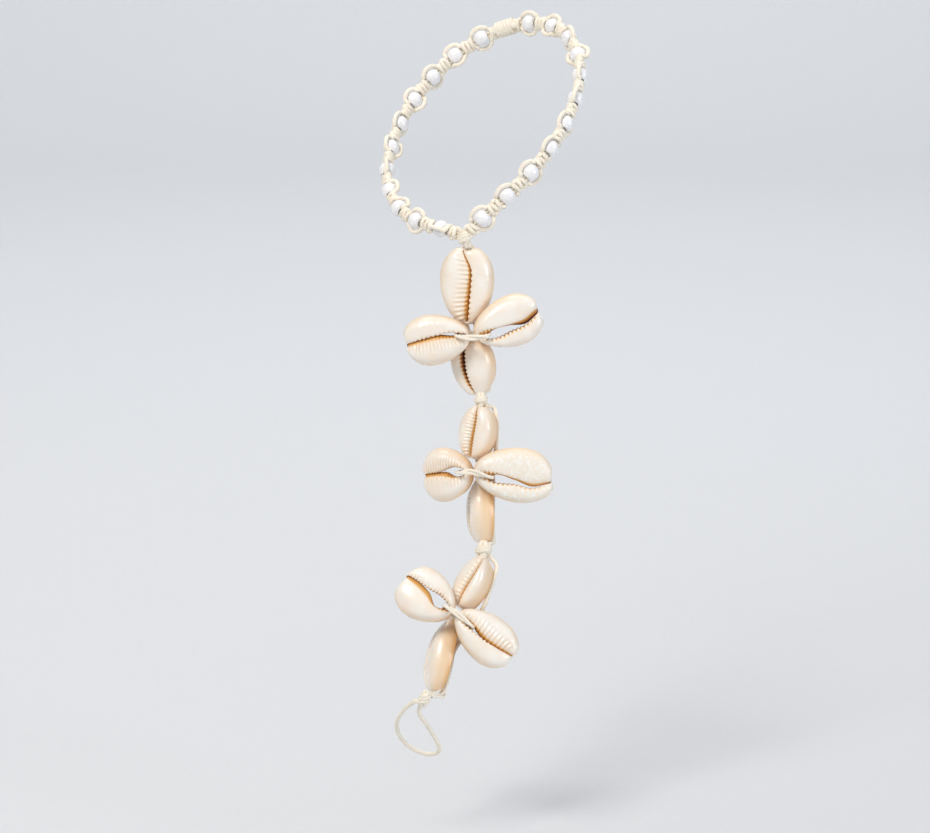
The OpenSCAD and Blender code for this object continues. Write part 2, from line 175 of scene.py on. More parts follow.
def new_object(name, surfaces, material):
    """One mesh with its finish, in the scene."""
    thing = bpy.data.objects.new(name, new_mesh(name, surfaces))
    bpy.context.scene.collection.objects.link(thing)
    thing.data.materials.append(material)
    return thing


def new_piece(name, surfaces, material, slot, *nodes):
    """A piece of the anklet, in the place of the solids it stands for."""
    piece = new_object(name, surfaces, material)
    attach(piece, "root")
    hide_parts(*nodes)
    return piece


# %% [markdown]
# For the materials, one helper adds a node with its settings and links. Colours are sRGB hex values,
# as a picture gives them, and one function turns them into the shader's linear light.


# %% Node and colour helpers
def linear(hex_colour):
    """sRGB to linear light: v / 12.92 for the darkest values, else ((v + 0.055) / 1.055) ^ 2.4."""
    v = np.array([int(hex_colour[i:i + 2], 16) for i in (1, 3, 5)]) / 255
    return (*np.where(v <= 0.04045, v / 12.92, ((v + 0.055) / 1.055) ** 2.4).tolist(), 1.0)


def add_node(tree, kind, out, inputs=None, **settings):
    """Adds a shader node of a kind and gives its output `out`. Settings are the node's own fields,
    and each input is a value or another node's output."""
    node = tree.nodes.new("ShaderNode" + kind)
    for key, value in settings.items():
        setattr(node, key, value)
    for key, value in (inputs or {}).items():
        if isinstance(value, bpy.types.NodeSocket):
            tree.links.new(value, node.inputs[key])
        else:
            node.inputs[key].default_value = value
    return node.outputs[out] if out else node


def new_material(name):
    """A material without nodes, and its node tree."""
    material = bpy.data.materials.new(name)
    material.use_nodes = True
    material.node_tree.nodes.clear()
    return material, material.node_tree


def finish_material(tree, colour, bump, inputs):
    """A Principled surface, joined to the output. What is the same all over is a plain number."""
    inputs = {"Base Color": colour, "Normal": bump, **inputs}
    shader = add_node(tree, "BsdfPrincipled", "BSDF", inputs)
    add_node(tree, "OutputMaterial", None, {"Surface": shader})


# %% [markdown]
# ** Waxed cotton cord.** Three plies of bleached cotton are twisted and drawn through wax. The wax
# lays the fibres flat and gives a faint sheen. The plies themselves are geometry, so the material
# adds only a painted tan shade in the grooves between the plies, slow changes of tone along the
# cord, and the fibres: a noise on the UV map, drawn out along the cord. Real fibres are 0.02 mm
# wide and would not show, so they are drawn 0.15 mm wide.

# %% Waxed cotton material
FIBRE_MM, FIBRE_STRETCH = 0.15, 0.18
TONE_MM = 6


def waxed_cotton():
    """Pale cotton with slow changes of tone, then streaked by its fibres, then painted tan shade in the
    grooves.
    """
    material, tree = new_material("waxed cotton cord")
    uv = add_node(tree, "TexCoord", "UV")
    spot = add_node(tree, "TexCoord", "Object")
    drawn = add_node(tree, "Mapping", "Vector", {"Vector": uv, "Scale": (1, FIBRE_STRETCH, 1)})
    fibre = add_node(tree, "TexNoise", "Fac",
                     {"Vector": drawn, "Scale": 1 / (FIBRE_MM * MM), "Detail": 2})
    tone = add_node(tree, "TexNoise", "Fac", {"Vector": spot, "Scale": 1 / (TONE_MM * MM)})
    groove = add_node(tree, "Attribute", "Fac", attribute_name="groove")
    # The grooves between the plies are painted a darker tan, as painted shade.
    groove_shade = add_node(tree, "MapRange", "Result",
                    {"Value": groove, "From Min": 0.62, "From Max": 1.0, "To Max": 0.62})
    streak = add_node(tree, "MapRange", "Result",
                      {"Value": fibre, "From Min": 0.35, "From Max": 0.7, "To Max": 0.3})
    colour = linear("#FFFAF0")
    for share, other in ((tone, "#F9F0DE"), (streak, "#EBDDC0"), (groove_shade, "#CBA873")):
        colour = add_node(tree, "Mix", "Result", {"Factor": share, "A": colour, "B": linear(other)},
                          data_type="RGBA")
    bump = add_node(tree, "Bump", "Normal", {"Height": fibre, "Strength": 0.35, "Distance": 0.1 * MM})
    finish_material(tree, colour, bump, {
        "Roughness": 0.62, "IOR": 1.45, "Sheen Weight": 0.15,
        "Sheen Roughness": 0.4, "Subsurface Weight": 0.12, "Subsurface Radius": (0.8, 0.55, 0.35),
        "Subsurface Scale": 0.6 * MM})
    return material


cotton = waxed_cotton()
print("material:", cotton.name)

# %% [markdown]
# The camera stands where the photograph was taken from: 1.3 m in front of the shells, 12 degrees
# above the level, with a long lens that shows a field 310 mm wide. It is made before the pieces,
# because a free cord is measured against the camera's view.

# %% Camera
VIEW_DOWN = 12
FIELD_MM, DISTANCE_MM, SENSOR_MM = 310, 1300, 36
AIM_FORWARD, AIM_X, AIM_UP = 20, -6.13, -100.2

eye = place(turn("x", -VIEW_DOWN), [AIM_X, -(DISTANCE_MM + AIM_FORWARD), AIM_UP])
camera_data = bpy.data.cameras.new("camera")
camera_data.sensor_width = SENSOR_MM
camera_data.lens = SENSOR_MM * DISTANCE_MM / FIELD_MM
camera = bpy.data.objects.new("camera", camera_data)
camera.location = eye * MM
camera.rotation_euler = (np.radians(90 - VIEW_DOWN), 0, 0)
bpy.context.scene.collection.objects.link(camera)
bpy.context.scene.camera = camera
print("camera at", np.round(eye, 1), "mm, lens", round(camera_data.lens, 1), "mm")

# %% [markdown]
# **The cord.** All the cord is one waxed cotton 1.5 mm thick. A cord could be a curve with a bevel,
# but its plies would then be only painted on. Here each ring's radius rises and falls three times
# round, and this pattern turns once every few millimetres, so the plies wind along the cord as real
# ones do and catch the light.

# %% Cord surface
CORD_R, CORD_SIDES, RING_STEP = 0.75, 15, 0.32
PLIES, LAY, GROOVE = 3, 3.4, 0.09
CAP_DEGREES = (89, 60, 30)


def cord(path, side, radius=CORD_R, closed=False, groove=GROOVE, sides=CORD_SIDES, lay=LAY):
    """Rings square to the path. At angle v of a ring the radius is
    r * (1 - groove * (1 - |cos(plies / 2 * (v - 2 pi run / lay))|)), so `plies` ridges wind round it
    once every `lay` mm. `side` is a direction square to the path, from which v is counted. Three
    shrinking rings round off each open end."""
    run = run_length(path)
    side = np.broadcast_to(side, path.shape)
    along = unit(np.roll(path, -1, 0) - np.roll(path, 1, 0) if closed else np.gradient(path, axis=0))
    swell = np.ones(len(path))
    if closed:
        lay = run[-1] / max(1, round(run[-1] / lay))
    else:
        ball = np.radians(CAP_DEGREES)[:, None]
        head = path[:1] - along[:1] * radius * np.sin(ball)
        tail = path[-1:] + along[-1:] * radius * np.sin(ball[::-1])
        path = np.vstack([head, path, tail])
        swell = np.concatenate([np.cos(ball[:, 0]), swell, np.cos(ball[::-1, 0])])
        along, side, run = (np.concatenate([a[[0] * 3], a, a[[-1] * 3]]) for a in (along, side, run))
    out = unit(np.cross(side, along))
    up = np.cross(along, out)
    angle = np.arange(sides) * 2 * np.pi / sides
    dip = 1 - np.abs(np.cos(PLIES / 2 * (angle - 2 * np.pi * run[:, None] / lay)))
    r = (radius * swell[:, None] * (1 - groove * dip))[..., None]
    points = path[:, None] + r * (np.cos(angle)[:, None] * out[:, None]
                                  + np.sin(angle)[:, None] * up[:, None])
    # The groove value marks where the cotton material paints its shade between the plies.
    return surface(points, angle * radius, run, rows_close=closed, values={"groove": dip})


# %% [markdown]
# ** Toe loop.** Two strands leave the left side and the lower end of the toe knot, run down on both
# sides and meet at the back, so the loop is one open length of cord from knot to knot. Its route
# is drawn in its own slanting plane, with the solid model's points and one more inside the knot at
# each end.

# %% Knots and toe loop
WRAP_PITCH = 0.95 * 2 * CORD_R
KNOT_NAMES = ("centre_knot", "link_knot_1", "link_knot_2", "toe_knot")
KNOT_D = (4.6, 5, 6, 4.5)
KNOT_WRAPS = (3, 2, 2, 3)
TOE_ROOM = 0.6
TOE_IN = unit([0.085, 0.6, -0.79])
TOE_ACROSS = unit([0.945, -0.298, -0.133])
TOE_ROUTE = [
    [-1, -1.9], [-3.1, -1.6], [-4.4, 0.2], [-6.2, 2.6], [-8.3, 6.4], [-10, 10.2], [-11, 14.4],
    [-11, 18.8], [-9.6, 23], [-6.8, 26.2], [-3, 27.6], [0.6, 26.8], [2.9, 24.4], [3.3, 21.2],
    [2.5, 17.8], [1.4, 14.2], [0.1, 10.6], [-1.2, 7.6], [-2, 4.8], [-1.8, 2.2], [-1.2, 0.2],
    [-0.7, -1.6],
]


def knot_place(middle, down):
    """A knot's own frame: z against the way down, x to the right and y to the back."""
    z = -unit(down)
    x = unit(np.cross([0, -1, 0], -z))
    return axes(middle, x, np.cross(z, x), z)


TOE_KNOT = knot_place([-19.5, -71, -182.6], [-0.1, 0.1, -1])
toe_start = place(TOE_KNOT, [0, 0, -KNOT_WRAPS[3] * WRAP_PITCH / 2 - TOE_ROOM])
toe_path = evenly(smooth(toe_start + np.array(TOE_ROUTE) @ [TOE_ACROSS, TOE_IN], cuts=12), RING_STEP)
toe_side = np.cross(TOE_IN, TOE_ACROSS)
toe_loop = new_piece("toe_loop_cord", [cord(toe_path, toe_side)], cotton, "waxed_cord", "toe_loop")

# %% [markdown]
# **The ankle loop's path.** The band is a leaning ellipse, low at the front and high at the back,
# and the chain's pull makes a small dip in it. The path is a formula of one angle. To set beads at
# equal distances, the running length is worked out along the loop and the angle read back from it.

# %% Ankle loop
LOOP_A, LOOP_B = 45, 35
LOOP_FRAME = turn("z", 227.7) @ turn("y", 42) @ turn("z", 12.4)
KNOT_ANGLE, DIP_DEPTH, DIP_REACH = 16.2, 7.6, 14.5
PROBE = 0.4


def loop_point(t):
    """The ellipse (a cos, b sin, 0) in its lean, less a dip that fades as exp(-angle / reach)."""
    t = np.asarray(t, float)
    v = np.radians(t + KNOT_ANGLE)
    flat = np.stack([LOOP_A * np.cos(v), LOOP_B * np.sin(v), 0 * v], -1)
    dip = DIP_DEPTH * np.exp(-np.minimum(t, 360 - t) / DIP_REACH)
    return place(LOOP_FRAME, flat) - dip[..., None] * [0, 0, 1]


loop_degrees = np.arange(361)
loop_run = run_length(loop_point(loop_degrees))
LOOP_LENGTH = loop_run[-1]


def band_point(s):
    """The point at length s from the centre knot, negative to the left."""
    return loop_point(np.interp(np.mod(s, LOOP_LENGTH), loop_run, loop_degrees))


def band_axes(s):
    """Origin, x across the band, y out of the loop and z along the band, for each length in s."""
    origin = band_point(s)
    z = unit(band_point(s + PROBE) - band_point(s - PROBE))
    level = unit(origin * [1, 1, 0])
    y = unit(level - (level * z).sum(-1, keepdims=True) * z)
    return origin, np.cross(y, z), y, z


print("ankle loop:", round(LOOP_LENGTH, 1), "mm round")

# %% [markdown]
# **Beads.** They are round white resin, drilled and polished. A sphere with a hole cut into it
# would have a torn edge, so the bead is turned: its profile runs over the ball from mouth to mouth
# of the hole, round the edge and back along the bore, and the rows go once round.

# %% White resin material
HAZE_MM = 2.5


def white_resin():
    """Milky white that greys a little in soft spots, under a thin polished coat."""
    material, tree = new_material("polished white resin")
    spot = add_node(tree, "TexCoord", "Object")
    haze = add_node(tree, "TexNoise", "Fac", {"Vector": spot, "Scale": 1 / (HAZE_MM * MM)})
    colour = add_node(tree, "Mix", "Result",
                      {"Factor": haze, "A": linear("#FDFDFD"), "B": linear("#EEEFF3")},
                      data_type="RGBA")
    bump = add_node(tree, "Bump", "Normal", {"Height": haze, "Strength": 0.12, "Distance": 0.05 * MM})
    finish_material(tree, colour, bump, {
        "Roughness": 0.2, "IOR": 1.5, "Coat Weight": 0.3,
        "Coat Roughness": 0.08, "Subsurface Weight": 0.25, "Subsurface Scale": MM,
        "Subsurface Radius": (0.9, 0.9, 1.0)})
    return material


resin = white_resin()
print("material:", resin.name)

# %% Beads
BEAD_R, BORE_R, EDGE_R = 2.85, 1.35, 0.12
HALF_BEADS, FIRST_BEAD, LAST_BEAD = 11, 9, 5.3
CLOSING_L, CLOSING_D, GAP = 8, 6, 0.15
HALF_LENGTH = LOOP_LENGTH / 2
BAND_END = HALF_LENGTH - CLOSING_L / 2 - GAP
BEAD_PITCH = (BAND_END - LAST_BEAD - FIRST_BEAD) / (HALF_BEADS - 1)
BALL_POINTS, EDGE_POINTS, ROUND_POINTS = 25, 4, 48


def bead_at(i):
    """Length along the band to bead i of a half."""
    return FIRST_BEAD + i * BEAD_PITCH


def bead_surface(m):
    """Profile (distance from the bore's axis, height): the ball, an edge of radius EDGE_R, the bore."""
    mouth = np.arccos((BORE_R + EDGE_R) / BEAD_R)
    ball = np.linspace(-mouth, mouth, BALL_POINTS)
    top = BEAD_R * np.sin(mouth)
    bend = np.linspace(np.pi / 2, np.pi, EDGE_POINTS + 1)[1:]
    edge = np.stack([BORE_R + EDGE_R + EDGE_R * np.cos(bend), top - EDGE_R + EDGE_R * np.sin(bend)], 1)
    profile = np.vstack([np.stack([BEAD_R * np.cos(ball), BEAD_R * np.sin(ball)], 1), edge,
                         edge[::-1] * [1, -1]])
    round_it = np.linspace(0, 2 * np.pi, ROUND_POINTS, endpoint=False)[:, None]
    points = np.stack([profile[:, 0] * np.cos(round_it), profile[:, 0] * np.sin(round_it),
                       profile[:, 1] + 0 * round_it], -1)
    reach = run_length(np.pad(profile, ((0, 0), (0, 1))))
    return surface(place(m, points), reach, round_it[:, 0] * BEAD_R, rows_close=True)


for side, first in ((1, 1), (-1, 1 + HALF_BEADS)):
    for i in range(HALF_BEADS):
        m = axes(*band_axes(np.array(side * bead_at(i))))
        name = f"bead_{first + i:02d}"
        new_piece(f"white_{name}", [bead_surface(m)], resin, "white_bead", name)
print("beads:", 2 * HALF_BEADS, "every", round(BEAD_PITCH, 2), "mm")

# %% [markdown]
# **The knotted band.** Macramé makes this band from square knots. Two core cords run straight
# through the beads. Of the two outer cords, one always crosses in front of the core and one behind
# it, and they change sides at each half knot, so the front one shows as short ridges and the back
# one as a bar at each side. Both are led past a bead, one on each side. One formula gives
# both cords: x is a cosine, which swaps the sides, and y is the size of a sine, which lifts the
# cord in front of the core or behind it.

# %% Square knots
HALF_KNOT = 1.6
TIGHT_FRONT, TIGHT_BACK = 0.15, 0.22
FRONT_REACH, BACK_REACH = 1.5, 1.95
FACE_LIFT, TUCK, BAR_LIFT = 1.2, 0.45, 0.5
BOW_R = BEAD_R + CORD_R + 0.25
BOW_ANGLES = np.radians([-44, -22, 0, 22, 44])
KNOT_ROOM, BEAD_ROOM = 0.7, 0.3
# Roll of the upper cord forward and of the lower one back at each bead, in degrees. A bead shows
# both cords as a ring, or one across it, or neither.
RING, HALF, BARE = (0, 0), (12, 50), (-40, 40)
RIGHT_ROLLS = (RING, HALF, RING, HALF, RING, HALF, RING, (60, 60), RING, HALF, RING)
LEFT_ROLLS = ((78, 78), (-10, -10), BARE, BARE, RING, HALF, RING, HALF, RING, HALF, RING)
CORE_R, CORE_SIDE, CORE_POINTS = 0.62, 0.6, 60
# Where the cords begin and end in the knots: the distance along, and to each side
IN_CENTRE, IN_CLOSING = (1, 0.9), (BAND_END + 2, 0.8)


def half_knots(start, end, hand):
    """Front and back cord through a row of half knots, as rows of length s, x, y and roll. With tau
    counting half knots: x = -+cos(pi tau), y = +-lift |sin(pi tau)| less the tuck at the sides, and
    s = start + pitch (tau + tight sin(2 pi tau)), which levels the crossings and draws out the bars."""
    count = max(1, round((end - start) / HALF_KNOT))
    tau = np.linspace(0, count, 4 * count + 1)
    wave = np.abs(np.sin(np.pi * tau))
    x = -hand * np.cos(np.pi * tau)
    rows = [np.stack([start + (end - start) / count * (tau + tight * np.sin(2 * np.pi * tau)),
                      reach * x, lift * wave + rest * (1 - wave), 0 * tau], 1)
            for tight, reach, lift, rest in ((TIGHT_FRONT, FRONT_REACH, FACE_LIFT, -TUCK),
                                             (TIGHT_BACK, -BACK_REACH, -FACE_LIFT, BAR_LIFT))]
    return rows, hand * (-1) ** count


def bow(i, way, rolls):
    """A cord led past bead i: an arc of radius BOW_R in a plane that is rolled about the band."""
    return np.stack([bead_at(i) + BOW_R * np.sin(BOW_ANGLES), way * BOW_R * np.cos(BOW_ANGLES),
                     0 * BOW_ANGLES, rolls[way < 0] + 0 * BOW_ANGLES], 1)


def along_band(side, rows, radius):
    """A cord from rows of s, x, y and roll: the place across the band, rolled, is set on the path."""
    s, x, y, roll = smooth(rows, cuts=6).T
    origin, across, out, _ = band_axes(side * s)
    c, k = np.cos(np.radians(roll)), np.sin(np.radians(roll))
    off = (x * c - y * k)[:, None] * across + (x * k + y * c)[:, None] * out
    both = evenly(np.hstack([origin + off, off]), RING_STEP)
    return cord(both[:, :3], both[:, 3:], radius)


def band_half(side, rolls):
    """The two knotting cords and the two core cords of one half of the band."""
    (start, x), (end, last_x) = IN_CENTRE, IN_CLOSING
    front, back = [[start, -x, 0, 0]], [[start, x, 0, 0]]
    core_s = np.linspace(start, end, CORE_POINTS)
    hand = 1
    for i in range(HALF_BEADS + 1):
        from_s = bead_at(i - 1) + BEAD_R + BEAD_ROOM if i else KNOT_D[0] / 2 + KNOT_ROOM
        to_s = bead_at(i) - BEAD_R - BEAD_ROOM if i < HALF_BEADS else BAND_END
        (a, b), hand = half_knots(from_s, to_s, hand)
        front.append(a)
        back.append(b)
        if i < HALF_BEADS:
            front.append(bow(i, -hand, rolls[i]))
            back.append(bow(i, hand, rolls[i]))
    front.append([end, -hand * last_x, 0, 0])
    back.append([end, hand * last_x, 0, 0])
    cores = [np.pad(core_s[:, None], ((0, 0), (0, 3))) + [0, way * CORE_SIDE, 0, 0] for way in (-1, 1)]
    return ([along_band(side, np.vstack(rows), CORD_R) for rows in (front, back)]
            + [along_band(side, rows, CORE_R) for rows in cores])


for side, rolls, word in ((1, RIGHT_ROLLS, "right"), (-1, LEFT_ROLLS, "left")):
    piece = new_piece(f"square_knot_band_{word}", band_half(side, rolls), cotton, "waxed_cord",
                      f"ankle_band_{word}")
    print(piece.name, len(piece.data.polygons), "faces")

# %% [markdown]
# **Wound knots.** Each knot of the chain is the same cord wound two or three times round the
# strands that pass through it. The winding is a helix that leans a little, and both of its ends
# shrink into the middle. A plump bundle fills the inside, so no light comes through.

# %% Wound knots
CHAIN_KNOTS = (knot_place(band_point(0), [0.05, -0.06, -1]),
               knot_place([-0.8, -37.3, -88.8], [-0.03, -0.15, -1]),
               knot_place([0, -47.5, -138], [-0.05, -0.25, -1]), TOE_KNOT)
KNOT_LEANS = (0.42, 0.12, 0.1, 0.3)
KNOT_GLOBES = (0.3, 0.1, 0.05, 0.25)
KNOT_GROOVE, WRAP_STEPS, LEAN_PHASE = 0.15, 40, 0.6
LEAD_IN, LEAD_SHRINK, LEAD_POWER = 0.3, 0.8, 1.5
BUNDLE_RINGS, BUNDLE = 12, {"groove": 0.3, "sides": 24, "lay": 20}


def wound_knot(m, d, wraps, lean, globe):
    """v counts the rounds, from -lead to wraps + lead. The distance from the axis is d / 2 - r, less
    by globe * (2v / wraps - 1)^2, and shrinks inwards over each lead. The height grows evenly over
    the wraps, plus lean * distance * cos(2 pi v + phase)."""
    v = np.linspace(-LEAD_IN, wraps + LEAD_IN, WRAP_STEPS * wraps + WRAP_STEPS // 2)
    inside = np.clip(np.maximum(-v, v - wraps) / LEAD_IN, 0, 1)
    round_off = 1 - globe * np.clip(2 * v / wraps - 1, -1, 1) ** 2
    far = (d / 2 - CORD_R) * (1 - LEAD_SHRINK * inside ** LEAD_POWER) * round_off
    angle = 2 * np.pi * v
    high = wraps * WRAP_PITCH
    z = np.clip(v / wraps, 0, 1) * (high - WRAP_PITCH) - (high - WRAP_PITCH) / 2
    z = z + lean * far * np.cos(angle + LEAN_PHASE)
    path = place(m, np.stack([far * np.cos(angle), far * np.sin(angle), z], 1))
    centre = place(m, np.stack([0 * z, 0 * z, z], 1))
    both = evenly(np.hstack([path, path - centre]), RING_STEP)
    bundle = place(m, np.linspace([0, 0, -high / 2], [0, 0, high / 2], BUNDLE_RINGS))
    return [cord(both[:, :3], both[:, 3:], groove=KNOT_GROOVE),
            cord(bundle, m[:3, 0], (d / 2 - CORD_R) * (1 - globe), **BUNDLE)]


for name, m, *form in zip(KNOT_NAMES, CHAIN_KNOTS, KNOT_D, KNOT_WRAPS, KNOT_LEANS, KNOT_GLOBES):
    new_piece(f"wound_{name}", wound_knot(m, *form), cotton, "waxed_cord", name)
closing = axes(*band_axes(np.array(HALF_LENGTH)))
new_piece("wound_closing_knot", wound_knot(closing, CLOSING_D, int(CLOSING_L / WRAP_PITCH), 0.1, 0),
          cotton, "waxed_cord", "closing_knot")
print("knots:", len(KNOT_NAMES) + 1)

# %% [markdown]
# ** Cowrie shell.** A cowrie is glazed by the animal itself, like fine porcelain: ivory on the face
# and golden at the sawn rim. Peach is painted down the sides, along the lip and between the ribs as
# painted shade, and inside the slit the amber of the lip's inner wall deepens to dark brown, which
# is painted shade. Three values come from the geometry: `inside` grows from the lip's edge into the
# shell, the painted peach shade down the side, and `rim` at the cut. The rest is soft clouds a few
# millimetres across, and a bump of fine growth waves. One shell was worn by the sea and has lost
# some gloss, so it has faint chalky flecks.

# %% Cowrie materials
# Size of the soft spots in mm, the range of noise they come from, and their two colours
CLOUDS = (7, 0.35, 0.7, "#FDF7EE", "#F8EADA")
FLECKS = (1.1, 0.46, 0.74, "#F7EEDF", "#FFFFFD")
WAVE_MM = 1.4
# The slit's colours by depth: the amber of the lip's inner wall, deepening to dark brown as painted
# shade
SLIT_COLOURS = {0: "#F2C67E", 0.3: "#D89A48", 0.62: "#8E4C22", 1: "#4A2010"}


def cowrie(name, worn):
    """Glazed shell, or with worn = 1 a dulled one with chalky flecks. The face colour gives way to
    peach down the sides, near the lip and between the ribs, which is painted shade, to gold where
    `rim` is, and to the slit's colours inside, which deepen into painted shade."""
    material, tree = new_material(name)
    spot = add_node(tree, "TexCoord", "Object")
    inside, warm, rim = (add_node(tree, "Attribute", "Fac", attribute_name=key)
                         for key in ("inside", "warm", "rim"))
    size, low, high, pale, shaded = FLECKS if worn else CLOUDS
    spots = add_node(tree, "TexNoise", "Fac",
                     {"Vector": spot, "Scale": 1 / (size * MM), "Detail": 3 + worn})
    spotted = add_node(tree, "MapRange", "Result", {"Value": spots, "From Min": low, "From Max": high})
    within = add_node(tree, "MapRange", "Result", {"Value": inside, "From Min": 0.02, "From Max": 0.14})
    # The slit's ramp deepens from amber into painted shade.
    depth = add_node(tree, "ValToRGB", "Color", {"Fac": inside})
    stops = depth.node.color_ramp.elements
    for at, shade in SLIT_COLOURS.items():
        stop = stops[0] if at == 0 else stops[-1] if at == 1 else stops.new(at)
        stop.color = linear(shade)
    colour = linear(pale)
    # Peach #F6DAB6 is painted shade down the sides, along the lip and between the ribs.
    for share, other in ((spotted, linear(shaded)), (warm, linear("#F6DAB6")),
                         (rim, linear("#E2AC66")), (within, depth)):
        colour = add_node(tree, "Mix", "Result", {"Factor": share, "A": colour, "B": other},
                          data_type="RGBA")
    waves = add_node(tree, "TexNoise", "Fac",
                     {"Vector": spot, "Scale": 1 / (WAVE_MM * MM), "Detail": 2})
    bump = add_node(tree, "Bump", "Normal",
                    {"Height": waves, "Strength": 0.2 + 0.3 * worn, "Distance": 0.12 * MM})
    finish_material(tree, colour, bump, {
        "Roughness": 0.3 + 0.15 * worn, "IOR": 1.53,
        "Coat Weight": 0.45 - 0.25 * worn, "Coat Roughness": 0.12, "Subsurface Weight": 0.15,
        "Subsurface Radius": (1.0, 0.7, 0.5), "Subsurface Scale": MM})
    return material


glazed = cowrie("glazed cowrie shell", 0)
sea_worn = cowrie("sea-worn cowrie shell", 1)
print("materials:", glazed.name, "and", sea_worn.name)

# %% [markdown]
# **Cut shells.** The saw leaves the toothed face of the cowrie as a ring round its slit. So the
# shell is a section of its wall, from the lip over the face, down the side to the sawn rim and back
# inside, carried once round the slit. Along the way the slit changes its width and wanders, its
# lips have teeth, and each tooth goes on across the face as a rib that fades. The teeth follow the
# distance along the slit and not the angle, so they stay evenly spaced as real ones are.

# %% Table of the shells
SHELL_H, SLIT_SHARE = 7.2, 0.88
FLOWERS = {1: ([-3.6, -37.5, -66.7], 3), 2: ([-3.9, -45, -111.4], 9), 3: ([-8.8, -60, -157.4], 22)}
# The shell's middle in the flower's plane, its lift out of it, the angle of its outer end, its size,
# roll and pitch, how much wider the outer end is, and the share of the height lost at both ends. At
# five places from the tip to the outer end: the slit's width, the shift of its middle, how far one
# lip closes it (1 is shut) and how dark it is. For each lip: height of the teeth, length of the ribs,
# the share of the slit up to which both go, and how many there would be along all of it. Last the
# depth of the outer notch, how much further the left lobe beside it reaches, and which lip leans
# over the slit: 1 left, -1 right.
COLUMNS = ("x", "y", "lift", "angle", "long", "wide", "roll", "pitch", "egg", "taper", "widths",
           "shifts", "closed", "dark", "left", "right", "notch", "lobe", "leaning")
SHUT = (1, 1, 1, 1, 1)
EDGE_ON = (
    (1, 1.1, 0.9, 0.8, 0.6), (-0.1, -0.2, -0.3, -0.3, 0.1), SHUT, (0.4, 0.3, 0.2, 0.1, 0.1),
    (0.1, 0.4, 0.9, 14), (0.14, 0.6, 0.95, 14), 1.4, 0, -1)
